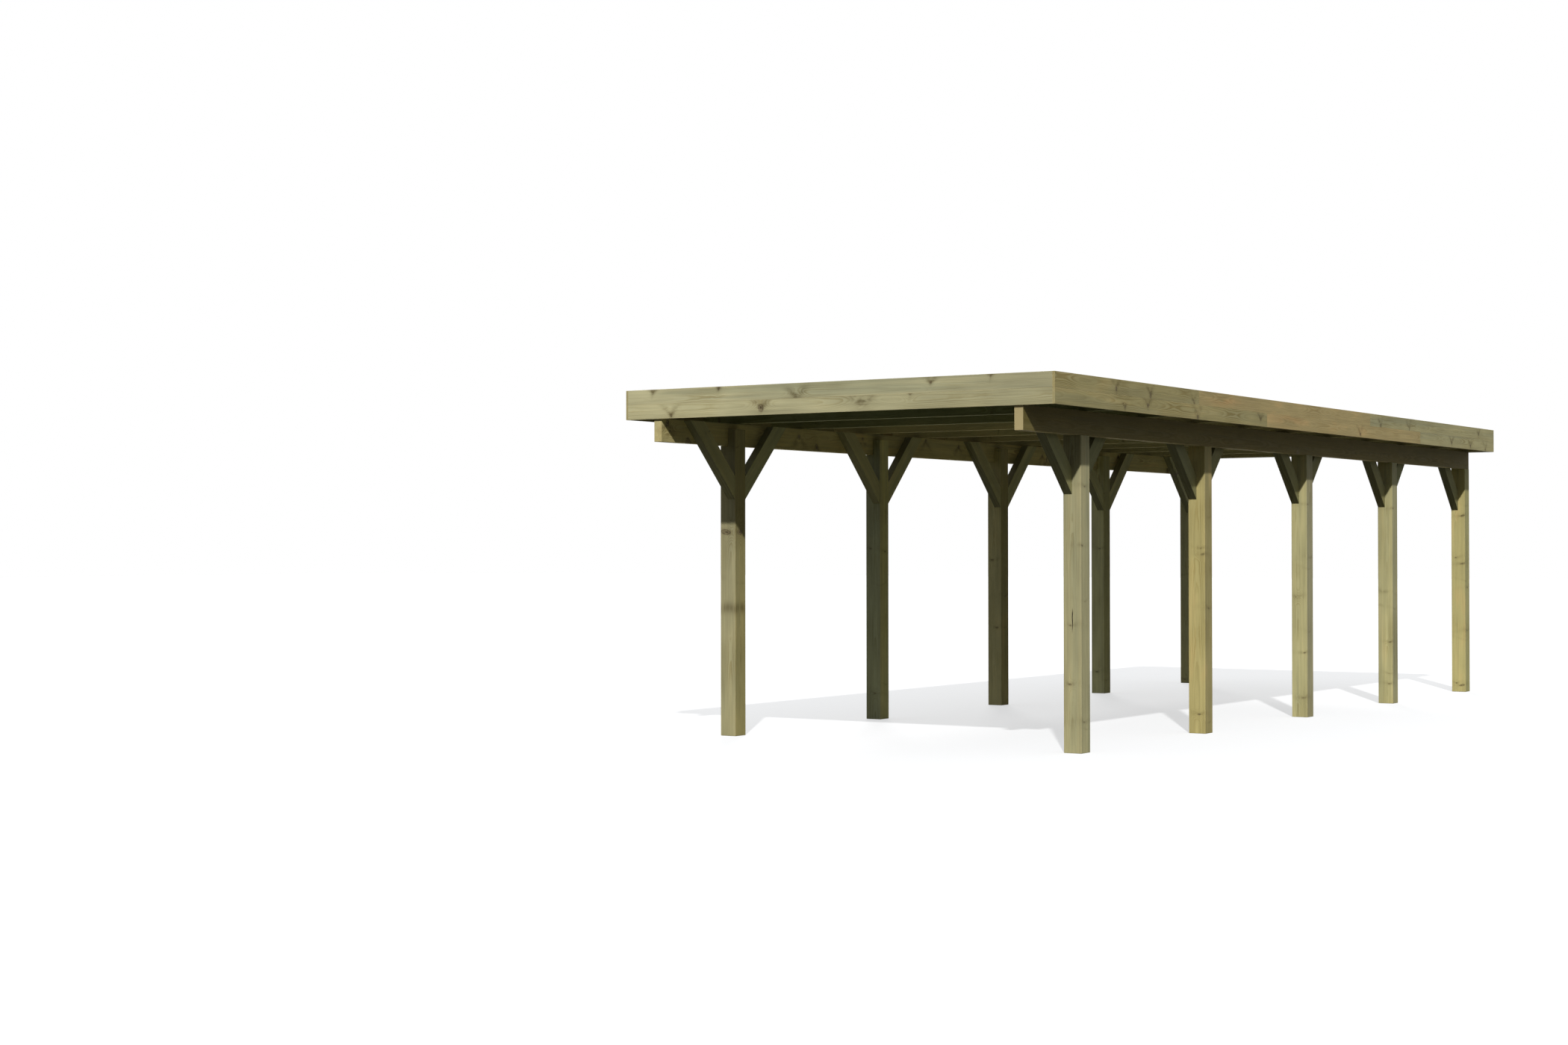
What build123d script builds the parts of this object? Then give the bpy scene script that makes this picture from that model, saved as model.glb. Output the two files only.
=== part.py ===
from build123d import *
import os

# Carport with a flat roof on ten timber posts. Millimetres.
# X runs across the drive, Y along it with the open front at -Y, Z up.
# The origin is on the ground under the middle of the roof.

# Posts
posts_per_side = 5
post_size = 120
post_height = 2050
post_span = 2674
bay = 1870

# Purlins lie in a notch cut in the outer half of each post head
notch_depth = 60
notch_seat = 1940
notch_overcut = 10
purlin_thick = 58
purlin_height = 150
front_overhang = 748

# Braces stand against the purlin's inner face
brace_thick = 58
brace_depth = 111
brace_foot = 1580
brace_top_gap = 4

# Rafters
rafter_count = 11
rafter_thick = 45
rafter_height = 120

# Fascia, two boards high; joints are measured from the front
board_thick = 16
board_height = 95
butt_gap = 1
fascia_drop = 4
side_overhang = 213
upper_joints = [2057, 5271]
lower_joints = [3214, 6433]

# Roof sheets with trapezoid ribs, each lapped over the first rib of the next
sheet_count = 3
sheet_thick = 3
ribs_per_sheet = 5
rib_height = 20
rib_foot = 70
rib_crown = 35
first_rib = 0.25
lap_clearance = 0.5
sheet_edge_gap = 10

# Sizes that follow from the ones above
purlin_top = notch_seat + purlin_height
purlin_length = front_overhang + bay * (posts_per_side - 1) + post_size
roof_length = purlin_length + 2 * board_thick
roof_width = post_span + 2 * side_overhang
front_y = -roof_length / 2
purlin_y = front_y + board_thick
first_post_y = purlin_y + front_overhang
fascia_bottom = purlin_top - fascia_drop
rafter_top = purlin_top + rafter_height
rafter_length = roof_width - 2 * board_thick
rafter_step = (purlin_length - rafter_thick) / (rafter_count - 1)
post_outer = post_span / 2

os.makedirs("parts", exist_ok=True)


def save(shape, node):
    shape.label = node
    export_step(shape, "parts/" + node + ".step")


def block(x0, x1, y0, y1, z0, z1):
    """A plain sawn timber between two corners."""
    middle = Pos((x0 + x1) / 2, (y0 + y1) / 2, (z0 + z1) / 2)
    return middle * Box(abs(x1 - x0), abs(y1 - y0), abs(z1 - z0))


def plate(points, x0, x1):
    """An outline in Y and Z, given a thickness from x0 to x1."""
    outline = Wire.make_polygon([(min(x0, x1), y, z) for y, z in points])
    return extrude(Face(outline), amount=abs(x1 - x0), dir=(1, 0, 0))


def post(side, y):
    """Square post whose outer half stops at the purlin's seat; side is -1 left, 1 right."""
    outer = side * post_outer
    inner = side * (post_outer - post_size)
    shoulder = side * (post_outer - notch_depth)
    past = outer + side * notch_overcut
    front = y - notch_overcut
    back = y + post_size + notch_overcut
    body = block(inner, outer, y, y + post_size, 0, post_height)
    return body - block(shoulder, past, front, back, notch_seat, post_height + notch_overcut)


def brace(side, y, way):
    """Brace at 45 degrees from the post face at y; way is -1 forward, 1 back."""
    top = purlin_top - brace_top_gap
    upper_foot = brace_foot + brace_depth * 2 ** 0.5
    outline = [
        (y, brace_foot),
        (y, upper_foot),
        (y + way * (top - upper_foot), top),
        (y + way * (top - brace_foot), top),
    ]
    face = side * (post_outer - notch_depth)
    return plate(outline, face, face - side * brace_thick)


def boards_along(x0, x1, z0, z1, joints):
    """One course of side boards butted end to end along the drive."""
    ends = [0] + joints + [roof_length]
    boards = []
    for n in range(len(ends) - 1):
        start = front_y + ends[n] + (butt_gap / 2 if n else 0)
        stop = front_y + ends[n + 1] - (butt_gap / 2 if n < len(joints) else 0)
        boards.append(block(x0, x1, start, stop, z0, z1))
    return Compound(children=boards)


def rib(centre, base):
    """Corners of one rib, from its left foot over the crown to its right foot."""
    return [
        (centre - rib_foot / 2, base),
        (centre - rib_crown / 2, base + rib_height),
        (centre + rib_crown / 2, base + rib_height),
        (centre + rib_foot / 2, base),
    ]


def roof_sheet(number):
    """Ribbed sheet; its last rib rides over its neighbour's first."""
    cover = (rafter_length - 2 * sheet_edge_gap) / sheet_count
    pitch = cover / ribs_per_sheet
    left = -rafter_length / 2 + sheet_edge_gap + number * cover
    last = number == sheet_count - 1
    low = []
    high = []
    for n in range(ribs_per_sheet):
        middle = left + (n + first_rib) * pitch
        low += rib(middle, rafter_top)
        high += rib(middle, rafter_top + sheet_thick)
    if last:
        low.append((left + cover, rafter_top))
        high.append((left + cover, rafter_top + sheet_thick))
    else:
        over = left + (ribs_per_sheet + first_rib) * pitch
        rise = sheet_thick + lap_clearance
        low += rib(over, rafter_top + rise)[:3]
        high += rib(over, rafter_top + rise + sheet_thick)[:3]
    if number == 0:
        low.insert(0, (left, rafter_top))
        high.insert(0, (left, rafter_top + sheet_thick))
    start = purlin_y + sheet_edge_gap
    outline = low + high[::-1]
    wire = Wire.make_polygon([(x, start, z) for x, z in outline])
    return extrude(Face(wire), amount=purlin_length - 2 * sheet_edge_gap, dir=(0, 1, 0))


# Posts and their braces, front to back
for side, name in ((-1, "left"), (1, "right")):
    for n in range(posts_per_side):
        y = first_post_y + n * bay
        save(post(side, y), f"{name}_post_{n + 1}")
        pair = [brace(side, y, -1)]
        if n < posts_per_side - 1:
            pair.append(brace(side, y + post_size, 1))
        save(Compound(children=pair) if len(pair) > 1 else pair[0], f"{name}_braces_{n + 1}")

# Purlins, seated in the notches
for side, name in ((-1, "left"), (1, "right")):
    inner = side * (post_outer - notch_depth)
    outer = inner + side * purlin_thick
    purlin_back = purlin_y + purlin_length
    save(block(inner, outer, purlin_y, purlin_back, notch_seat, purlin_top), f"{name}_purlin")

# Rafters, laid across both purlins
half = rafter_length / 2
for n in range(rafter_count):
    y = purlin_y + n * rafter_step
    save(block(-half, half, y, y + rafter_thick, purlin_top, rafter_top), f"rafter_{n + 1:02d}")

# Fascia: side boards cover the ends of the front and back boards
edge = roof_width / 2
for course, joints in (("lower", lower_joints), ("upper", upper_joints)):
    z0 = fascia_bottom + (board_height if course == "upper" else 0)
    z1 = z0 + board_height
    save(boards_along(-edge, board_thick - edge, z0, z1, joints), f"left_fascia_{course}")
    save(boards_along(edge - board_thick, edge, z0, z1, joints), f"right_fascia_{course}")
    save(block(-half, half, front_y, front_y + board_thick, z0, z1), f"front_fascia_{course}")
    save(block(-half, half, -front_y - board_thick, -front_y, z0, z1), f"back_fascia_{course}")

# Roof sheets on the rafters, below the top of the fascia
for n, name in enumerate(("left", "middle", "right")):
    save(roof_sheet(n), f"{name}_roof_sheet")
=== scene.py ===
import math
import random
from collections import namedtuple

import bmesh
import bpy
from mathutils import Matrix, Vector


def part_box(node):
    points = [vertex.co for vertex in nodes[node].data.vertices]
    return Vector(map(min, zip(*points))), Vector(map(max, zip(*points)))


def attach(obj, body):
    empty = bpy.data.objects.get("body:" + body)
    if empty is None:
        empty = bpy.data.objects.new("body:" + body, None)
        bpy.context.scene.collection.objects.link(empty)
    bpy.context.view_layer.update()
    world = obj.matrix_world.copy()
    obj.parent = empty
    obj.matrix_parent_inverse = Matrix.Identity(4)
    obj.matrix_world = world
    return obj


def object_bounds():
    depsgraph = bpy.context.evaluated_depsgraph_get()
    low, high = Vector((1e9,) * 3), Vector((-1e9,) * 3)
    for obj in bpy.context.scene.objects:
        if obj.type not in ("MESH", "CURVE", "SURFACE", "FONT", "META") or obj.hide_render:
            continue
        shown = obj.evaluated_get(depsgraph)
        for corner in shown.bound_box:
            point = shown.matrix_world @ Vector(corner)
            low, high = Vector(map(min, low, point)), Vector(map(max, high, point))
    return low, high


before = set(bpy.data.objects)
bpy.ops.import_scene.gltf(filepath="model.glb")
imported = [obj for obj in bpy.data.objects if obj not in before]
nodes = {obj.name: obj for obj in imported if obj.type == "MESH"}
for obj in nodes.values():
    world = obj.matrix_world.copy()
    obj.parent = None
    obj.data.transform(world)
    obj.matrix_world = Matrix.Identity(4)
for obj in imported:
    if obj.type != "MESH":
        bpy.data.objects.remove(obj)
cad_low, cad_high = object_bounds()

# Camera, worked out from the photograph's perspective
PHOTO_WIDTH = 2100
FOCAL_PIXELS = 3202.5
SENSOR_MM = 36.0
CAMERA_PLACE = (7.835, -16.574, 1.244)
CAMERA_TURN = math.radians(33.380)
CAMERA_TILT = math.radians(0.652)
CAMERA_ROLL = math.radians(-0.072)
CAMERA_REACH = 400.0

# Light: a sun from the front right, a weaker one from behind, and a sky that is dimmer near the horizon
SUN_TRAVEL = Vector((-0.644, 1.144, -1.0))
SUN_STRENGTH = 3.4
SUN_SPREAD = math.radians(1.2)
BACK_TRAVEL = Vector((0.6, -1.0, -0.8))
BACK_STRENGTH = 1.2
BACK_SPREAD = math.radians(12)
SKY_LOW = (0.080, 0.083, 0.090)
SKY_HIGH = (0.660, 0.690, 0.730)
SKY_RISE = 0.90
WHITE = (1.0, 1.0, 1.0, 1.0)

# Floor: what bounces off it, outside and under the roof, and what the camera sees
FLOOR_SIZE = 160.0
FLOOR_OUTSIDE = (0.030, 0.031, 0.018, 1.0)
FLOOR_UNDER_ROOF = (0.250, 0.240, 0.135, 1.0)
FLOOR_SEEN = (0.95, 0.95, 0.95, 1.0)
FLOOR_FADE = 0.3
FLOOR_GLOW = 0.6

# Pine finishes, as linear colours
GREEN_GREY = (0.240, 0.244, 0.152)
ORANGE_TAN = (0.50, 0.31, 0.13)
LATE_WOOD = (0.74, 0.69, 0.58)
KNOT_HEART = (0.118, 0.084, 0.042)
KNOT_RIM = (0.040, 0.028, 0.014)
KNOT_STAIN = (0.35, 0.31, 0.24)
CRACK = (0.030, 0.024, 0.014)
FRESH_END = (0.49, 0.395, 0.20)

# Noise in the wood: waves per metre along the log and across it, detail, roughness
WOOD_NOISE = {
    "lean": (2.4, 3.0, 1.0, 0.5),
    "ripple": (14.0, 34.0, 2.0, 0.5),
    "fibre": (9.0, 420.0, 3.0, 0.6),
    "streak": (1.8, 75.0, 3.0, 0.6),
    "patch": (2.6, 12.0, 2.0, 0.5),
    "stripe": (0.55, 17.0, 2.0, 0.5),
}
# Width of a growth ring, how far along the log each next board is cut, and the surface's relief and gloss
RING_WIDTH = 0.0046
NEXT_BOARD = 4.73
BUMP_STRENGTH = 0.6
GRAIN_DEPTH = 0.0012
WOOD_GLOSS = 0.2

# Radii of the eased arrises, and how near corners are welded before that
POST_ARRIS = 0.003
BEAM_ARRIS = 0.002
BOARD_ARRIS = 0.001
WELD_REACH = 0.0002

# A board's look: its colour, its shares of grey-green stain and orange patches, how clear its rings are
Board = namedtuple("Board", "tone grey warm rings", defaults=(1.0,))
OLIVE_BOARD = Board((0.318, 0.272, 0.122), 0.20, 0.10, 1.1)
TAN_BOARD = Board((0.372, 0.292, 0.132), 0.00, 0.35, 0.5)
GREY_BOARD = Board((0.350, 0.315, 0.160), 0.40, 0.00, 0.8)
PALE_BOARD = Board((0.392, 0.360, 0.205), 0.12, 0.05)
STREAKED_BOARD = Board((0.385, 0.354, 0.205), 0.50, 0.00)
# The left purlin's pale tone is partly painted light on its shaded inner face; the right purlin's dark
# tone is painted shade under the fascia.
LEFT_PURLIN_PAINTED_LIGHT = Board((0.530, 0.455, 0.205), 0.20, 0.20)
RIGHT_PURLIN_PAINTED_SHADE = Board((0.134, 0.106, 0.030), 0.08, 0.04)
# The left braces' paler tone is painted light and the right braces' darker tone painted shade, on one
# brace wood.
LEFT_BRACE_PAINTED_LIGHT = Board((0.435, 0.418, 0.225), 0.20, 0.08)
RIGHT_BRACE_PAINTED_SHADE = Board((0.205, 0.195, 0.085), 0.15, 0.08)
# The front rafters' darker tone is painted shade under the front of the roof.
FRONT_RAFTER_PAINTED_SHADE = Board((0.182, 0.186, 0.072), 0.15, 0.05)
RAFTER = Board((0.430, 0.385, 0.190), 0.10, 0.15)
PLAIN_POST = Board((0.400, 0.360, 0.180), 0.30, 0.12)

# Posts whose faces show in the photograph: front colour, side colour, grey, warm
# The front and side colours are partly the wood's tone and partly painted light and shade, set to how much
# light each face gets.
POST_LOOKS = {
    "left_post_1": ((0.315, 0.284, 0.154), (0.295, 0.256, 0.110), 0.15, 0.05),
    "left_post_2": ((0.290, 0.295, 0.180), (0.520, 0.480, 0.215), 0.20, 0.00),
    "left_post_3": ((0.485, 0.440, 0.228), (0.285, 0.248, 0.098), 0.10, 0.15),
    "left_post_4": ((0.600, 0.575, 0.320), (0.330, 0.310, 0.135), 0.15, 0.00),
    "right_post_1": ((0.372, 0.335, 0.180), (0.380, 0.350, 0.192), 0.35, 0.10),
    "right_post_2": ((0.435, 0.368, 0.155), (0.342, 0.290, 0.126), 0.00, 0.20),
    "right_post_3": ((0.450, 0.410, 0.206), (0.325, 0.298, 0.172), 0.30, 0.10),
    "right_post_4": ((0.445, 0.402, 0.198), (0.338, 0.314, 0.172), 0.30, 0.10),
    "right_post_5": ((0.455, 0.398, 0.174), (0.355, 0.328, 0.148), 0.00, 0.25),
}
# Purlins: the board, how fresh its sawn ends look, how clear its rings are
PURLIN_LOOKS = {"left_purlin": (LEFT_PURLIN_PAINTED_LIGHT, 0.30, 0.9), "right_purlin": (RIGHT_PURLIN_PAINTED_SHADE, 0.95, 0.4)}
# How many rafters, from the front, have the darker look, which is painted shade
PAINTED_SHADE_RAFTER_COUNT = 3
# Braces: level of their edges beside their faces, and what their lower edges lose of that; both are
# painted shade
BRACE_EDGE_PAINTED_SHADE = 0.65
LOWER_EDGE_PAINTED_SHADE = 0.35

# Fascia: the boards of a course from front to back, and how it is cut; the end boards darken to the right
SIDE_COURSE = (OLIVE_BOARD, TAN_BOARD, GREY_BOARD)
END_COURSES = {"upper": (STREAKED_BOARD,), "lower": (PALE_BOARD,)}
SIDE_CUT = {"axes": "yzx", "ring": 0.0062, "sway": 0.045, "figure": 1.1}
END_CUT = {"axes": "xzy", "ring": RING_WIDTH, "sway": 0.010, "figure": 0.8}
END_DRIFT = {"upper": 0.22, "lower": 0.26}

# Knots that show on the posts: face, offset from the post's middle, height, radius, darkness
POST_KNOTS = {
    "left_post_1": (
        ("front", -0.008, 1.362, 0.032, 0.85), ("right", -0.004, 1.362, 0.030, 0.90),
    ),
    "left_post_2": (
        ("front", -0.020, 1.252, 0.010, 0.55), ("front", 0.015, 0.190, 0.012, 0.50),
        ("right", 0.010, 1.230, 0.010, 0.50),
    ),
    "left_post_3": (
        ("front", -0.020, 1.160, 0.014, 0.40), ("front", 0.020, 0.620, 0.013, 0.45),
        ("right", 0.000, 0.870, 0.012, 0.60),
    ),
    "left_post_4": (
        ("front", 0.020, 1.250, 0.010, 0.55), ("front", -0.010, 0.185, 0.012, 0.50),
    ),
    "right_post_1": (
        ("front", -0.012, 0.779, 0.010, 0.55), ("front", -0.018, 0.420, 0.011, 0.55),
        ("right", -0.045, 1.267, 0.010, 0.55), ("right", -0.020, 0.190, 0.012, 0.45),
        ("right", -0.010, 1.628, 0.009, 0.50),
    ),
    "right_post_2": (
        ("front", 0.042, 1.210, 0.014, 0.45), ("front", 0.030, 1.250, 0.008, 0.30),
        ("front", 0.015, 0.130, 0.011, 0.80), ("right", 0.000, 0.844, 0.012, 0.50),
    ),
    "right_post_3": (
        ("front", -0.022, 0.890, 0.017, 0.00), ("front", 0.038, 0.477, 0.009, 0.75),
        ("front", 0.030, 0.144, 0.014, 0.35), ("right", -0.045, 1.575, 0.009, 0.60),
        ("right", 0.010, 1.180, 0.012, 0.10),
    ),
    "right_post_4": (
        ("front", -0.020, 0.900, 0.016, 0.00), ("front", 0.036, 0.495, 0.009, 0.75),
        ("front", 0.032, 0.160, 0.013, 0.35), ("right", -0.045, 1.570, 0.009, 0.60),
    ),
    "right_post_5": (
        ("front", 0.032, 1.532, 0.014, 0.70), ("front", -0.022, 1.168, 0.009, 0.95),
        ("front", 0.034, 1.116, 0.014, 0.55), ("front", -0.020, 0.076, 0.009, 0.90),
        ("front", 0.022, 0.057, 0.016, 0.80), ("right", 0.000, 0.908, 0.014, 0.75),
        ("right", -0.010, 0.533, 0.012, 0.75),
    ),
}
# Knots that show on the fascia: place along the board, height, radius, darkness
FASCIA_KNOTS = {
    "front_fascia_lower": (
        (-0.497, 2.133, 0.022, 0.90), (-1.190, 2.108, 0.010, 0.55), (0.245, 2.130, 0.034, 0.0),
    ),
    "front_fascia_upper": (
        (-0.817, 2.268, 0.011, 0.70), (-1.335, 2.258, 0.012, 0.15), (-0.231, 2.190, 0.020, 0.20),
        (1.130, 2.266, 0.009, 0.50),
    ),
    "right_fascia_upper": (
        (-3.373, 2.222, 0.013, 0.80), (-2.881, 2.206, 0.015, 0.60), (-2.215, 2.195, 0.010, 0.40),
        (1.315, 2.190, 0.011, 0.70), (1.974, 2.190, 0.010, 0.60), (3.760, 2.225, 0.010, 0.55),
    ),
    "right_fascia_lower": (
        (-2.919, 2.138, 0.014, 0.95), (-2.156, 2.107, 0.016, 0.60), (-1.094, 2.135, 0.010, 0.50),
        (3.037, 2.125, 0.011, 0.70), (3.535, 2.118, 0.012, 0.85), (3.950, 2.100, 0.009, 0.55),
    ),
}
# Knots that show on the purlins' inner faces: place along the purlin, height, radius, darkness
PURLIN_KNOTS = {
    "left_purlin": (
        (-4.110, 2.060, 0.020, 0.90), (-4.082, 2.013, 0.008, 0.80),
        (-2.550, 2.032, 0.016, 0.80), (-1.700, 2.050, 0.012, 0.50), (-0.780, 2.066, 0.014, 0.60),
        (-0.270, 2.042, 0.014, 0.60), (1.150, 2.020, 0.013, 0.60), (2.600, 2.055, 0.014, 0.60),
    ),
}
# Orange patches that show on the fascia: place along the board and height; their reach both ways
FASCIA_PATCHES = {"right_fascia_upper": ((-1.717, 2.239),), "right_fascia_lower": ((-0.569, 2.145),)}
PATCH_REACH = (0.24, 0.036)
# A soft dark band round a post, as where a ring of branches lies just under the face: height, half depth
POST_BANDS = {"left_post_1": (0.868, 0.036)}
# Drying cracks on post fronts: offset, lower end, upper end, width
POST_CRACKS = {"right_post_1": (0.000, 0.720, 0.895, 0.0045)}

# Chance knots: at most one in each spacing, the way they point and its spread, radius, share that grew
Scatter = namedtuple("Scatter", "spacing aim spread radius share")
# Their darkness, and how far out from the log's heart they have that radius
CHANCE_DARK = 0.70
CHANCE_OUT = 0.06
# A branch's lean along the log for each metre out, and how much knots are flattened along the grain
BRANCH_LEAN = 0.25
BOARD_KNOT_FLATNESS = 1.4
POST_KNOT_FLATNESS = 3.6

# Roof sheets and screws, as linear colours
SHEET_VALLEY = (0.128, 0.131, 0.130)
SHEET_CROWN = (0.205, 0.213, 0.220)
SHEET_FLANK = (0.085, 0.086, 0.082)
SHEET_DUST = (0.26, 0.25, 0.22)
SHEET_RUNS = (0.215, 0.212, 0.195)
SHEET_SPECKS = (0.09, 0.09, 0.085)
SHEET_BUMP = 0.0006
ZINC = (0.42, 0.42, 0.41)
ZINC_BLOOM = (0.28, 0.27, 0.25)
ZINC_BUMP = 0.0002

# Roof screws and where they stand; the first and last rows are moved in from the sheets' ends
SHEET_THICK = 0.003
WASHER_RADIUS = 0.0085
WASHER_HEIGHT = 0.0025
WASHER_TAPER = 0.7
HEAD_RADIUS = 0.0052
HEAD_HEIGHT = 0.0055
HEAD_TAPER = 0.93
END_ROW_INSET = 0.016
NARROWEST_VALLEY = 0.09
SAME_LEVEL = 0.0002

# Places of the Mix node's colours among its inputs and outputs
MIX_FIRST = 6
MIX_SECOND = 7
MIX_RESULT = 2


class Wire:
    """A socket of a finish. Arithmetic on it adds Math nodes."""

    def __init__(self, finish, socket):
        self.finish = finish
        self.socket = socket

    def out(self, name):
        """Another output of the same node."""
        return Wire(self.finish, self.socket.node.outputs[name])

    def __add__(self, other):
        return self.finish.math("ADD", self, other)

    def __sub__(self, other):
        return self.finish.math("SUBTRACT", self, other)

    def __mul__(self, other):
        return self.finish.math("MULTIPLY", self, other)

    def __truediv__(self, other):
        return self.finish.math("DIVIDE", self, other)

    def __radd__(self, other):
        return self.finish.math("ADD", other, self)

    def __rsub__(self, other):
        return self.finish.math("SUBTRACT", other, self)

    def __rmul__(self, other):
        return self.finish.math("MULTIPLY", other, self)

    def __neg__(self):
        return self.finish.math("MULTIPLY", self, -1)

    def __abs__(self):
        return self.finish.math("ABSOLUTE", self)


class Finish:
    """The nodes of one material, or of the world."""

    def __init__(self, owner):
        owner.use_nodes = True
        self.owner = owner
        self.tree = owner.node_tree
        self.tree.nodes.clear()

    def add(self, kind, settings=None, sockets=None):
        """Adds a node: its settings first, then the values or links of its sockets."""
        node = self.tree.nodes.new("ShaderNode" + kind)
        for name, value in (settings or {}).items():
            setattr(node, name, value)
        for name, value in (sockets or {}).items():
            if isinstance(value, Wire):
                self.tree.links.new(value.socket, node.inputs[name])
            else:
                node.inputs[name].default_value = value
        shown = next((s for s in node.outputs if s.enabled), None)
        return Wire(self, shown)

    def math(self, operation, *values):
        return self.add("Math", {"operation": operation}, dict(enumerate(values)))

    def split(self, vector):
        """A vector's X, Y and Z as outputs."""
        return self.add("SeparateXYZ", None, {"Vector": vector})

    def fade(self, value, start, stop):
        """0 at start, 1 at stop, smooth between."""
        sockets = {"Value": value, "From Min": start, "From Max": stop}
        return self.add("MapRange", {"interpolation_type": "SMOOTHSTEP"}, sockets)

    def mix(self, share, first, second, blend="MIX"):
        """Colour mix; a plain colour is given as three numbers."""
        sockets = {0: share}
        for place, colour in ((MIX_FIRST, first), (MIX_SECOND, second)):
            sockets[place] = colour if isinstance(colour, Wire) else (*colour, 1.0)
        return self.add("Mix", {"data_type": "RGBA", "blend_type": blend}, sockets).out(MIX_RESULT)

    def shaded(self, colour, level):
        """A colour made lighter or darker by a number."""
        grey = self.add("CombineXYZ", None, {"X": level, "Y": level, "Z": level})
        return self.mix(1.0, colour, grey, "MULTIPLY")

    def stretched_noise(self, vector, scale, detail=2.0, rough=0.5):
        """Noise with its own scale along each direction of vector."""
        place = self.add("VectorMath", {"operation": "MULTIPLY"}, {0: vector, 1: scale})
        sockets = {"Vector": place, "Scale": 1.0, "Detail": detail, "Roughness": rough}
        return self.add("TexNoise", None, sockets)

    def surface(self, colour, roughness, height, depth, metallic=0.0, gloss=0.5):
        """Closes the finish with a shader whose bump comes from height."""
        bump = self.add("Bump", None, {"Strength": BUMP_STRENGTH, "Distance": depth, "Height": height})
        shader = self.add("BsdfPrincipled", None, {
            "Base Color": colour, "Roughness": roughness, "Metallic": metallic,
            "Specular IOR Level": gloss, "Normal": bump})
        self.add("OutputMaterial", None, {"Surface": shader})
        return self.owner


def smaller(first, second):
    return first.finish.math("MINIMUM", first, second)


def larger(first, second):
    return first.finish.math("MAXIMUM", first, second)


def above(value, limit):
    """1 where value is over limit, 0 elsewhere."""
    return value.finish.math("GREATER_THAN", value, limit)


def root(value):
    return value.finish.math("SQRT", value)


def decay(value):
    """e to the power of minus value."""
    return value.finish.math("EXPONENT", -value)


def bell(value):
    """1 at nought, falling away to both sides."""
    return decay(value * value)


def random_for(node):
    """Chance of a node's own, the same at each run."""
    return random.Random("carport " + node)


def named(words):
    """Names of the frame's nodes that hold these words, in order."""
    return sorted(name for name in nodes if words in name)


def middle(node):
    """A node's centre and size."""
    low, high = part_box(node)
    return (low + high) / 2, high - low


class Knots:
    """The knots of one timber: how near the closest is, their dark hearts and the stain beside them."""

    def __init__(self, finish, rough, arms_up):
        self.finish = finish
        self.rough = rough
        self.arms_up = arms_up
        self.flat = BOARD_KNOT_FLATNESS if arms_up else POST_KNOT_FLATNESS
        self.nearest = None
        self.hearts = None
        self.stain = None

    def mark(self, along, aside, size, dark, grown=1.0):
        """Adds a knot, with two arms of stain that lean out from it across the grain."""
        ragged = 0.70 + 0.60 * self.rough
        reach = root(along * along * self.flat + aside * aside) / size * ragged
        heart = self.finish.fade(reach, 1.25, 0.90) * dark
        far = abs(aside)
        broad = size + 0.010
        if self.arms_up:
            line = (abs(along) - 1.1 * self.arms_up * aside) * 0.5
            strength = 1.0
        else:
            line = along - 0.25 * far
            strength = 0.5
        arms = bell(line / (0.50 * broad + 0.18 * far)) * decay(far / (broad * 2.6)) * strength
        stain = larger(arms, 0.7 * decay(reach * 0.75)) * grown
        if self.nearest:
            reach = smaller(reach, self.nearest)
            heart = larger(heart, self.hearts)
            stain = larger(stain, self.stain)
        self.nearest = reach
        self.hearts = heart
        self.stain = stain

    def place(self, log, at, across, deep, radius, dark):
        """A knot that shows at a given point; its branch starts at the log's heart."""
        length, width, depth = log
        out_there = math.hypot(across, deep)
        c = across / out_there
        s = deep / out_there
        out = width * c + depth * s
        aside = depth * c - width * s
        along = length - at + BRANCH_LEAN * (out_there - out)
        self.mark(along, aside, larger(out, 0.004) * (radius / out_there), dark)

    def scatter(self, log, chances, salt):
        """Knots anywhere along the log, as chance has it."""
        length, width, depth = log
        steps = length / chances.spacing + salt
        cell = self.finish.math("FLOOR", steps)
        drawn = self.finish.add("TexWhiteNoise", {"noise_dimensions": "1D"}, {"W": cell * 1.37 + salt})
        split = self.finish.add("SeparateColor", None, {"Color": drawn.out("Color")})
        turn = (split.out("Red") - 0.5) * chances.spread + chances.aim
        c = self.finish.math("COSINE", turn)
        s = self.finish.math("SINE", turn)
        out = width * c + depth * s
        aside = depth * c - width * s
        into_cell = steps - cell - 0.25 - 0.5 * split.out("Green")
        along = into_cell * chances.spacing - BRANCH_LEAN * out
        grown = above(drawn.out("Value"), 1 - chances.share)
        size = chances.radius * (0.45 + split.out("Blue")) * grown
        self.mark(along, aside, larger(out * size / CHANCE_OUT, 0.00001), CHANCE_DARK, grown)


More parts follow.
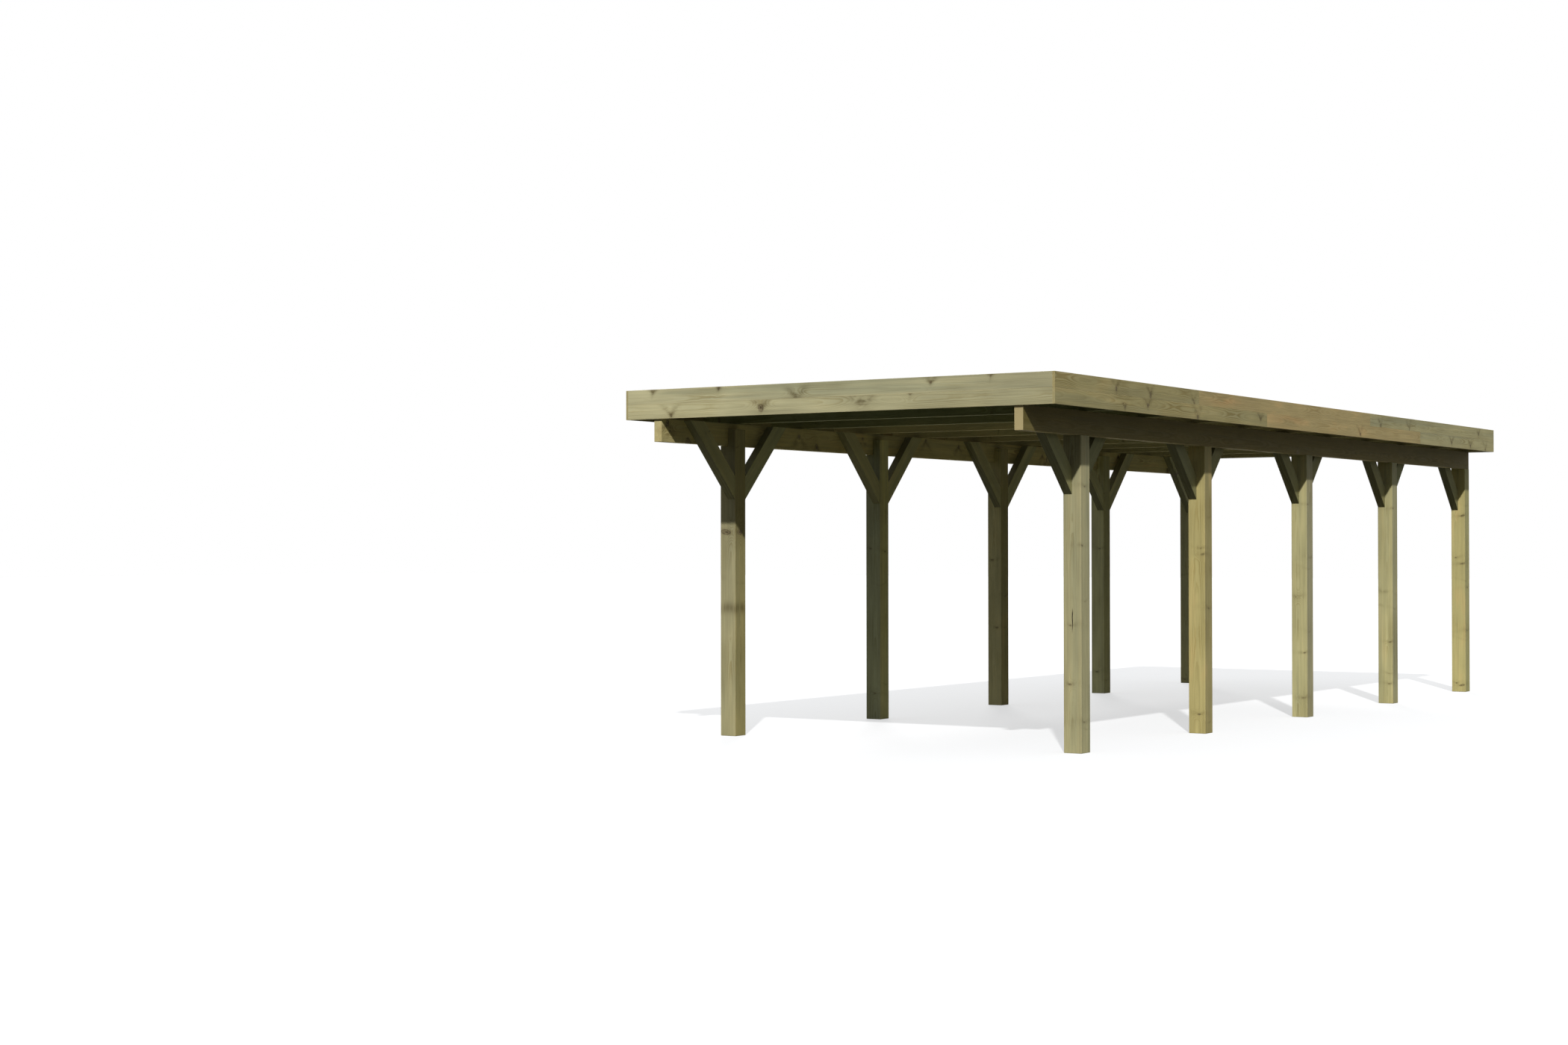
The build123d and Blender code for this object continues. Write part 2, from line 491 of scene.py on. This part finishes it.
class Timber:
    """The finish of one timber node, from its place in a log to its rubbed arrises."""

    def __init__(self, node, axes, boards, heart, joints, split_at):
        self.finish = Finish(bpy.data.materials.new(node + "_pine"))
        self.luck = random_for(node)
        self.axes = axes
        self.boards = boards
        self.heart = heart
        seed = self.luck.uniform(1, 40)
        centre, self.size = middle(node)
        place = self.finish.split(self.finish.add("TexCoord").out("Object"))
        self.offset = {name: place.out(name.upper()) - centre["xyz".index(name)] for name in "xyz"}
        self.facing = self.finish.split(self.finish.add("NewGeometry").out("Normal"))
        if axes == "brace":
            self.lay_braces(split_at)
        else:
            self.length, self.width, self.depth = (self.offset[name] for name in axes)
            self.past = [above(self.length, joint) for joint in joints]
        self.cut_from_log(seed)

    def lay_braces(self, split_at):
        """Directions of two braces that rise at 45 degrees to either side of their post."""
        self.past = [above(self.offset["y"], split_at)]
        run = abs(self.offset["y"] - split_at)
        self.length = (run + self.offset["z"]) * math.sqrt(0.5)
        self.width = (self.offset["z"] - run) * math.sqrt(0.5)
        self.depth = self.offset["x"]

    def cut_from_log(self, seed):
        """Places each board in the log, beyond the one before it, and makes the wood's noises there."""
        length = self.length + seed
        width = self.width - self.heart[0]
        depth = self.depth - self.heart[1]
        for beyond in self.past:
            length = length + beyond * NEXT_BOARD
            width = width + beyond * self.luck.uniform(-0.02, 0.02)
        self.log = (length, width, depth)
        grain = self.finish.add("CombineXYZ", None, {"X": length, "Y": width, "Z": depth})
        self.noise = {}
        for name, (along, across, detail, rough) in WOOD_NOISE.items():
            scale = (along, across, across)
            self.noise[name] = self.finish.stretched_noise(grain, scale, detail, rough)

    def by_board(self, name):
        """A value of the board that a point is on; past tells which joints lie before the point."""
        value, *others = [getattr(board, name) for board in self.boards]
        for beyond, other in zip(self.past, others):
            if isinstance(other, tuple):
                value = self.finish.mix(beyond, value, other)
            else:
                value = beyond * other + (1 - beyond) * value
        return value

    def sideways(self):
        """1 on faces turned left or right, 0 on the others."""
        return self.finish.fade(abs(self.facing.out("X")), 0.4, 0.9)

    def cover(self, share, colour):
        """Lays a colour over part of the surface."""
        self.colour = self.finish.mix(share, self.colour, colour)

    def tint(self, share, colour):
        """Lays a see-through colour over part of the surface."""
        self.cover(share, self.finish.mix(1.0, self.colour, colour, "MULTIPLY"))

    def grow_knots(self, listed, scatter, arms_up):
        """Knots that show in the photograph, then scattered ones."""
        self.knots = Knots(self.finish, self.noise["ripple"], arms_up)
        log = (self.length, self.width - self.heart[0], self.log[2])
        for at, across, deep, radius, dark in listed:
            self.knots.place(log, at, across - self.heart[0], deep - self.heart[1], radius, dark)
        for chances in scatter:
            self.knots.scatter(self.log, chances, self.luck.uniform(0, 9))

    def grow_rings(self, ring, sway):
        """Growth rings, bent round the knots; late is 1 on their dark lines."""
        length, width, depth = self.log
        swell = decay(self.knots.nearest * self.knots.nearest * 0.06)
        out = root(width * width + depth * depth) + 0.008 * length
        bent = out + sway * self.noise["lean"] + 0.003 * self.noise["ripple"] + 0.018 * swell
        saw = self.finish.math("FRACT", bent / ring)
        self.late = self.finish.fade(saw, 0.25, 0.85) * self.finish.fade(saw, 1.0, 0.92)

    def stain_boards(self, side_tone_and_painted_light):
        """Each board's tone, with grey-green stripes and orange patches; some tones, and the side colour
        on a post's faces turned left or right, are partly painted light and shade.
        """
        self.colour = self.by_board("tone")
        # Side faces take their own colour, which is partly painted light and shade.
        if side_tone_and_painted_light:
            self.cover(self.sideways(), side_tone_and_painted_light)
        self.cover(self.finish.fade(self.noise["stripe"], 0.46, 0.66) * self.by_board("grey"), GREEN_GREY)
        self.cover(self.finish.fade(self.noise["patch"], 0.54, 0.76) * self.by_board("warm"), ORANGE_TAN)

    def weather(self, drift, painted_edge_shade):
        """Light and dark streaks along the grain, painted shade on faces turned away from X and more on
        lower ones, and darker far ends.
        """
        streaks = 0.60 * self.noise["streak"] + 0.14 * self.noise["fibre"] + 0.55 * self.noise["patch"]
        level = 0.395 + streaks
        if drift:
            level = level * (1 - self.length * (drift / self.size["xyz".index(self.axes[0])]))
        # Painted shade: faces turned away from X are darker, and downward ones darker still.
        if painted_edge_shade < 1:
            lower = self.finish.fade(self.facing.out("Z"), -0.3, -0.6)
            level = level * (painted_edge_shade + (1 - painted_edge_shade) * self.sideways()) * (1 - LOWER_EDGE_PAINTED_SHADE * lower)
        self.colour = self.finish.shaded(self.colour, level)

    def add_patches(self, patches):
        """Orange patches at given places."""
        for at, across in patches:
            spot = bell((self.length - at) / PATCH_REACH[0]) * bell((self.width - across) / PATCH_REACH[1])
            self.cover(spot * self.finish.fade(self.noise["patch"], 0.30, 0.58) * 0.8, ORANGE_TAN)

    def draw_rings(self, figure):
        """The rings' dark lines, clearer in some stretches than in others."""
        clear = 0.18 + self.finish.fade(self.noise["lean"], 0.46, 0.66)
        self.tint(self.late * clear * self.by_board("rings") * figure, LATE_WOOD)

    def draw_knots(self):
        """The stain round the knots, their brown hearts, and a broken dark rim and core."""
        ripple = self.noise["ripple"]
        near = self.knots.nearest
        hearts = self.knots.hearts
        self.tint(self.knots.stain * self.finish.fade(ripple, 0.25, 0.62), KNOT_STAIN)
        self.cover(hearts * 0.65, KNOT_HEART)
        ring = self.finish.fade(abs(near - 0.95), 0.28, 0.04)
        self.rim = ring * hearts * self.finish.fade(ripple, 0.40, 0.60)
        core = self.finish.fade(near, 0.50, 0.20) * hearts
        self.cover(larger(self.rim, core * 0.85), KNOT_RIM)

    def saw_ends(self, fresh):
        """Sawn ends are paler than the treated faces."""
        end = self.finish.fade(abs(self.facing.out(self.axes[0].upper())), 0.6, 0.9)
        self.cover(end * fresh, self.finish.mix(self.late * 0.5, FRESH_END, self.boards[0].tone))

    def raise_grain(self):
        """Height of the surface: fibres, late wood and knots stand up, and the knots' rims are sunk."""
        grain = 0.45 * self.noise["fibre"] + 0.30 * self.late
        self.height = grain - 0.35 * self.rim + 0.25 * self.knots.hearts

    def add_band(self, at, half):
        """A soft dark band across the timber."""
        bow = 3.0 * (self.width * self.width + self.depth * self.depth)
        smoke = bell((self.length - at + bow) / half) * self.finish.fade(self.noise["streak"], 0.25, 0.60)
        self.tint(smoke * 0.75, KNOT_STAIN)

    def add_crack(self, across, low_end, high_end, gap):
        """A crack along the front face that closes towards both ends."""
        rising = self.finish.fade(self.length, low_end, low_end + 0.07)
        reach = rising * self.finish.fade(self.length, high_end, high_end - 0.05)
        line = abs(self.width - across + 0.010 * (self.noise["ripple"] - 0.5))
        split_open = self.finish.fade(line, gap, gap * 0.3) * above(reach, 0.02) * above(-self.depth, 0.0)
        self.cover(split_open * reach, CRACK)
        self.height = self.height - 2.5 * split_open * reach

    def rub_arrises(self):
        """Arrises are rubbed a little paler."""
        gaps = [self.size[n] / 2 - abs(self.offset["xyz"[n]]) for n in range(3)]
        inner = larger(smaller(gaps[0], gaps[1]), smaller(larger(gaps[0], gaps[1]), gaps[2]))
        rubbed = self.finish.fade(inner, 0.006, 0.001) * self.finish.fade(self.noise["ripple"], 0.35, 0.6)
        self.cover(rubbed * 0.20, FRESH_END)

    def close(self):
        """The finished material; knots are a little glossier than the wood."""
        dull = 0.66 + 0.16 * self.noise["fibre"] + 0.08 * self.late
        roughness = dull - 0.12 * self.knots.hearts
        return self.finish.surface(self.colour, roughness, self.height, GRAIN_DEPTH, gloss=WOOD_GLOSS)


def pine(node, axes, boards, heart, ring=RING_WIDTH, sway=0.012, joints=(), split_at=None,
         side_tone_and_painted_light=None, drift=0.0, painted_edge_shade=1.0, figure=0.7, fresh_ends=0.0, knots=(), scatter=(),
         arms_up=0, patches=(), band=None, crack=None):
    """Finish for one timber node.

    axes names the directions along the timber and across it, such as "zxy" for a post, or "brace".
    heart is how far the tree's heart lies from the timber's middle, across it.
    joints are where one board ends and the next starts, split_at where two braces meet their post.
    drift is how much darker the far end is than the near one, painted_edge_shade the level of painted
    shade on faces turned away from X.
    arms_up is the way the knots' stain leans, or 0 for stain to both sides.
    """
    timber = Timber(node, axes, boards, heart, joints, split_at)
    timber.grow_knots(knots, scatter, arms_up)
    timber.grow_rings(ring, sway)
    timber.stain_boards(side_tone_and_painted_light)
    timber.weather(drift, painted_edge_shade)
    timber.add_patches(patches)
    timber.draw_rings(figure)
    timber.draw_knots()
    if fresh_ends:
        timber.saw_ends(fresh_ends)
    timber.raise_grain()
    if band:
        timber.add_band(*band)
    if crack:
        timber.add_crack(*crack)
    timber.rub_arrises()
    return timber.close()


def ease_arrises(node, radius):
    """Takes the sharp edge off a timber, as planing does."""
    weld = nodes[node].modifiers.new("weld", "WELD")
    weld.merge_threshold = WELD_REACH
    bevel = nodes[node].modifiers.new("arris", "BEVEL")
    bevel.width = radius
    bevel.segments = 2
    bevel.limit_method = "ANGLE"
    bevel.angle_limit = math.radians(30)


def coat(node, material):
    """Gives a node one material all over."""
    nodes[node].data.materials.clear()
    nodes[node].data.materials.append(material)


def varied(board, luck, amount=0.06):
    """A timber's own look, a little off the common one."""
    level = 1 + luck.uniform(-amount, amount)
    warmth = 1 + luck.uniform(-amount, amount) * 0.6
    red, green, blue = board.tone
    tone = (red * level * warmth, green * level, blue * level / warmth)
    grey = board.grey * luck.uniform(0.4, 1.6)
    warm = board.warm * luck.uniform(0.4, 1.6)
    return Board(tone, grey, warm, board.rings)


def post_knots(node):
    """The listed knots of a post, measured from its middle."""
    centre, size = middle(node)
    knots = []
    for face, off, height, radius, dark in POST_KNOTS.get(node, ()):
        across, deep = (off, -size.y / 2) if face == "front" else (size.x / 2, off)
        knots.append((height - centre.z, across, deep, radius, dark))
    return knots


def post_scatter(listed):
    """Chance knots of a post; where some are listed, the others point to the back left, out of sight."""
    if listed:
        return [Scatter(0.70, math.radians(135), math.radians(130), 0.011, 0.65)]
    return [Scatter(0.80, 0.0, math.tau, 0.012, 0.50), Scatter(1.10, 2.1, math.tau, 0.010, 0.50)]


def finish_posts():
    for node in named("_post_"):
        centre, _ = middle(node)
        luck = random_for(node + " cut")
        heart = (luck.uniform(-0.028, 0.028), luck.uniform(-0.028, 0.028))
        knots = post_knots(node)
        board = varied(PLAIN_POST, luck)
        side_tone_and_painted_light = None
        # Listed posts take front and side colours that are partly painted light and shade.
        if node in POST_LOOKS:
            front, side_tone_and_painted_light, grey, warm = POST_LOOKS[node]
            board = Board(front, grey, warm)
        band = None
        if node in POST_BANDS:
            height, half = POST_BANDS[node]
            band = (height - centre.z, half)
        crack = None
        if node in POST_CRACKS:
            across, low_end, high_end, gap = POST_CRACKS[node]
            crack = (across, low_end - centre.z, high_end - centre.z, gap)
        coat(node, pine(node, "zxy", [board], heart, side_tone_and_painted_light=side_tone_and_painted_light, knots=knots,
                        scatter=post_scatter(knots), band=band, crack=crack))
        ease_arrises(node, POST_ARRIS)


def finish_braces():
    for node in named("_braces_"):
        luck = random_for(node + " cut")
        post_centre, _ = middle(node.replace("_braces_", "_post_"))
        own_centre, _ = middle(node)
        heart = (luck.uniform(-0.05, 0.05), luck.choice((-1, 1)) * luck.uniform(0.02, 0.05))
        scatter = [Scatter(0.60, luck.uniform(0, 6), 2.4, 0.010, 0.45)]
        # Left braces take the tone with painted light, right ones the tone with painted shade.
        look = LEFT_BRACE_PAINTED_LIGHT if node.startswith("left") else RIGHT_BRACE_PAINTED_SHADE
        looks = [varied(look, luck), varied(look, luck)]
        coat(node, pine(node, "brace", looks, heart, split_at=post_centre.y - own_centre.y,
                        scatter=scatter, painted_edge_shade=BRACE_EDGE_PAINTED_SHADE))
        ease_arrises(node, BEAM_ARRIS)


def finish_purlins():
    for node, (board, ends, figure) in PURLIN_LOOKS.items():
        luck = random_for(node + " cut")
        centre, size = middle(node)
        knots = []
        for at, height, radius, dark in PURLIN_KNOTS.get(node, ()):
            knots.append((at - centre.y, height - centre.z, size.x / 2, radius, dark))
        heart = (luck.uniform(-0.03, 0.03), luck.choice((-1, 1)) * 0.045)
        aim = math.atan2(-heart[1], -heart[0])
        share = 0.60 * figure
        scatter = [Scatter(0.75, aim, 2.2, 0.014, share), Scatter(1.30, aim + math.pi, 2.2, 0.012, share)]
        coat(node, pine(node, "yzx", [board], heart, sway=0.03, figure=figure, fresh_ends=ends,
                        knots=knots, scatter=scatter, arms_up=1))
        ease_arrises(node, BEAM_ARRIS)


def finish_rafters():
    for number, node in enumerate(named("rafter_")):
        luck = random_for(node + " cut")
        heart = (luck.choice((-1, 1)) * luck.uniform(0.03, 0.05), luck.uniform(-0.04, 0.04))
        aim = math.atan2(-heart[1], -heart[0])
        scatter = [Scatter(0.70, aim, 2.2, 0.012, 0.55)]
        # The front rafters take the darker tone, a painted shade.
        look = varied(FRONT_RAFTER_PAINTED_SHADE if number < PAINTED_SHADE_RAFTER_COUNT else RAFTER, luck)
        coat(node, pine(node, "xyz", [look], heart, sway=0.02, fresh_ends=0.1, scatter=scatter))
        ease_arrises(node, BOARD_ARRIS)


def board_ends(node):
    """Where one board of a side course meets the next, found from the solids' end faces."""
    centre, _ = middle(node)
    ends = sorted({round(v.co.y, 4) for v in nodes[node].data.vertices})
    inner = ends[1:-1]
    return [(a + b) / 2 - centre.y for a, b in zip(inner[::2], inner[1::2])]


def finish_fascia():
    for node in named("_fascia_"):
        side, _, course = node.split("_")
        centre, size = middle(node)
        luck = random_for(node + " cut")
        outward = -1 if side in ("front", "left") else 1
        face = outward * min(size.x, size.y) / 2
        heart = (luck.uniform(-0.02, 0.02), -outward * luck.uniform(0.035, 0.055))
        if side in ("left", "right"):
            start = centre.y
            cut = {"boards": SIDE_COURSE, "joints": board_ends(node), **SIDE_CUT}
        else:
            start = centre.x
            cut = {"boards": END_COURSES[course], "drift": END_DRIFT[course], **END_CUT}
        knots = []
        for at, height, radius, dark in FASCIA_KNOTS.get(node, ()):
            knots.append((at - start, height - centre.z, face, radius, dark))
        patches = [(at - start, height - centre.z) for at, height in FASCIA_PATCHES.get(node, ())]
        scatter = [Scatter(0.90, outward * math.pi / 2, 1.2, 0.012, 0.15 if knots else 0.60)]
        coat(node, pine(node, heart=heart, knots=knots, scatter=scatter, fresh_ends=0.15,
                        arms_up=-outward, patches=patches, **cut))
        ease_arrises(node, BOARD_ARRIS)


def sheet_coating():
    """Grey coated steel: clean crowns, dirt settled in the valleys and beside the ribs, old rain runs."""
    _, rafter_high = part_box("rafter_01")
    finish = Finish(bpy.data.materials.new("grey_sheet_coating"))
    place = finish.add("TexCoord").out("Object")
    rise = finish.split(place).out("Z") - rafter_high.z
    dust = finish.stretched_noise(place, (9.0, 1.6, 9.0), 4.0, 0.6)
    runs = finish.stretched_noise(place, (38.0, 0.5, 38.0), 3.0, 0.6)
    speck = finish.stretched_noise(place, (240.0, 240.0, 240.0), 2.0)
    crown = finish.fade(rise, 0.016, 0.022)
    flank = finish.fade(rise, 0.004, 0.007) * finish.fade(rise, 0.021, 0.010)
    colour = finish.mix(crown, SHEET_VALLEY, SHEET_CROWN)
    colour = finish.mix(finish.fade(dust, 0.42, 0.75) * 0.35, colour, SHEET_DUST)
    colour = finish.mix(finish.fade(runs, 0.50, 0.72) * 0.35, colour, SHEET_RUNS)
    colour = finish.mix(flank * 0.60, colour, SHEET_FLANK)
    colour = finish.mix(finish.fade(speck, 0.60, 0.75) * 0.25, colour, SHEET_SPECKS)
    roughness = 0.42 + 0.22 * dust + 0.08 * speck
    return finish.surface(colour, roughness, 0.5 * speck + 0.5 * dust, SHEET_BUMP)


def screw_steel():
    """Zinc-plated screw heads, dulled by weather."""
    finish = Finish(bpy.data.materials.new("dull_zinc"))
    place = finish.add("TexCoord").out("Object")
    bloom = finish.stretched_noise(place, (160.0, 160.0, 160.0), 3.0)
    colour = finish.mix(finish.fade(bloom, 0.40, 0.70), ZINC, ZINC_BLOOM)
    return finish.surface(colour, 0.35 + 0.3 * bloom, bloom, ZINC_BUMP, metallic=0.8)


def finish_roof():
    coating = sheet_coating()
    for node in named("_roof_sheet"):
        coat(node, coating)


def sheet_valleys():
    """Middle of each flat between ribs, across the roof, from the sheets' own corners."""
    _, rafter_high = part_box("rafter_01")
    feet = set()
    for node in named("_roof_sheet"):
        for vertex in nodes[node].data.vertices:
            if abs(vertex.co.z - rafter_high.z) < SAME_LEVEL:
                feet.add(round(vertex.co.x, 4))
    feet = sorted(feet)
    return [(a + b) / 2 for a, b in zip(feet, feet[1:]) if b - a > NARROWEST_VALLEY]


def screw_places():
    """Where the screws stand on the sheets: in every valley, over every rafter."""
    rafters = named("rafter_")
    valleys = sheet_valleys()
    places = []
    for node in rafters:
        centre, size = middle(node)
        y = centre.y
        if node == rafters[0]:
            y += END_ROW_INSET
        if node == rafters[-1]:
            y -= END_ROW_INSET
        places += [Vector((x, y, centre.z + size.z / 2 + SHEET_THICK)) for x in valleys]
    return places


def tapered_disc(form, seat, sides, radius, taper, height):
    """A closed disc that stands on seat, narrower at its top."""
    place = Matrix.Translation(seat + Vector((0, 0, height / 2)))
    bmesh.ops.create_cone(form, cap_ends=True, segments=sides, radius1=radius, radius2=radius * taper,
                          depth=height, matrix=place)


def roof_screws():
    """Hex-headed screws with washers, which hold the sheets to the rafters."""
    form = bmesh.new()
    for seat in screw_places():
        tapered_disc(form, seat, 16, WASHER_RADIUS, WASHER_TAPER, WASHER_HEIGHT)
        washer_top = seat + Vector((0, 0, WASHER_HEIGHT))
        tapered_disc(form, washer_top, 6, HEAD_RADIUS, HEAD_TAPER, HEAD_HEIGHT)
    mesh = bpy.data.meshes.new("roof_screws")
    form.to_mesh(mesh)
    form.free()
    screws = bpy.data.objects.new("roof_screws", mesh)
    bpy.context.scene.collection.objects.link(screws)
    mesh.materials.append(screw_steel())
    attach(screws, "root")


def background_seen(finish):
    """1 for rays that show the background: straight from the camera, mirrored or let through."""
    rays = finish.add("LightPath")
    shown = rays.out("Is Camera Ray") + rays.out("Is Glossy Ray") + rays.out("Is Transmission Ray")
    return smaller(shown, 1.0)


def floor_finish():
    """Pale where it is seen, darker to bounced light, and it keeps the shadow."""
    finish = Finish(bpy.data.materials.new("pale_floor"))
    place = finish.split(finish.add("TexCoord").out("Object"))
    under_x = finish.fade(abs(place.out("X")), cad_high.x + FLOOR_FADE, cad_high.x - FLOOR_FADE)
    under_y = finish.fade(abs(place.out("Y")), cad_high.y + FLOOR_FADE, cad_high.y - FLOOR_FADE)
    outside = finish.add("BsdfDiffuse", None, {"Color": FLOOR_OUTSIDE})
    inside = finish.add("BsdfDiffuse", None, {"Color": FLOOR_UNDER_ROOF})
    bounce = finish.add("MixShader", None, {0: under_x * under_y, 1: outside, 2: inside})
    matt = finish.add("BsdfDiffuse", None, {"Color": FLOOR_SEEN})
    glow = finish.add("Emission", None, {"Color": WHITE, "Strength": 1.0})
    pale = finish.add("MixShader", None, {0: FLOOR_GLOW, 1: matt, 2: glow})
    shown = finish.add("MixShader", None, {0: background_seen(finish), 1: bounce, 2: pale})
    finish.add("OutputMaterial", None, {"Surface": shown})
    return finish.owner


def pale_floor():
    """One large level square at the foot of the posts."""
    mesh = bpy.data.meshes.new("floor")
    half = FLOOR_SIZE / 2
    corners = [(-half, -half, 0), (half, -half, 0), (half, half, 0), (-half, half, 0)]
    mesh.from_pydata(corners, [], [(0, 1, 2, 3)])
    mesh.materials.append(floor_finish())
    floor = bpy.data.objects.new("floor", mesh)
    bpy.context.scene.collection.objects.link(floor)


def sky():
    """White behind the object; the light on it grows from the horizon up."""
    world = bpy.data.worlds.new("studio")
    bpy.context.scene.world = world
    finish = Finish(world)
    towards = finish.split(finish.add("TexCoord").out("Generated"))
    shade = finish.mix(finish.fade(towards.out("Z"), 0.0, SKY_RISE), SKY_LOW, SKY_HIGH)
    light = finish.add("Background", None, {"Color": shade, "Strength": 1.0})
    backdrop = finish.add("Background", None, {"Color": WHITE, "Strength": 1.0})
    mixed = finish.add("MixShader", None, {0: background_seen(finish), 1: light, 2: backdrop})
    finish.add("OutputWorld", None, {"Surface": mixed})


def sun(name, travel, strength, spread):
    lamp = bpy.data.lights.new(name, "SUN")
    lamp.energy = strength
    lamp.angle = spread
    holder = bpy.data.objects.new(name, lamp)
    holder.rotation_euler = travel.to_track_quat("-Z", "Y").to_euler()
    bpy.context.scene.collection.objects.link(holder)


def camera():
    view = bpy.data.cameras.new("camera")
    view.sensor_fit = "HORIZONTAL"
    view.sensor_width = SENSOR_MM
    view.lens = SENSOR_MM * FOCAL_PIXELS / PHOTO_WIDTH
    view.clip_end = CAMERA_REACH
    holder = bpy.data.objects.new("camera", view)
    turn = Matrix.Rotation(CAMERA_TURN, 4, "Z")
    tilt = Matrix.Rotation(math.pi / 2 + CAMERA_TILT, 4, "X")
    roll = Matrix.Rotation(CAMERA_ROLL, 4, "Z")
    holder.matrix_world = Matrix.Translation(CAMERA_PLACE) @ turn @ tilt @ roll
    bpy.context.scene.collection.objects.link(holder)
    bpy.context.scene.camera = holder


finish_posts()
finish_braces()
finish_purlins()
finish_rafters()
finish_fascia()
finish_roof()
roof_screws()
pale_floor()
sky()
sun("key_sun", SUN_TRAVEL, SUN_STRENGTH, SUN_SPREAD)
sun("back_sun", BACK_TRAVEL, BACK_STRENGTH, BACK_SPREAD)
camera()
bpy.context.scene.view_settings.view_transform = "Standard"
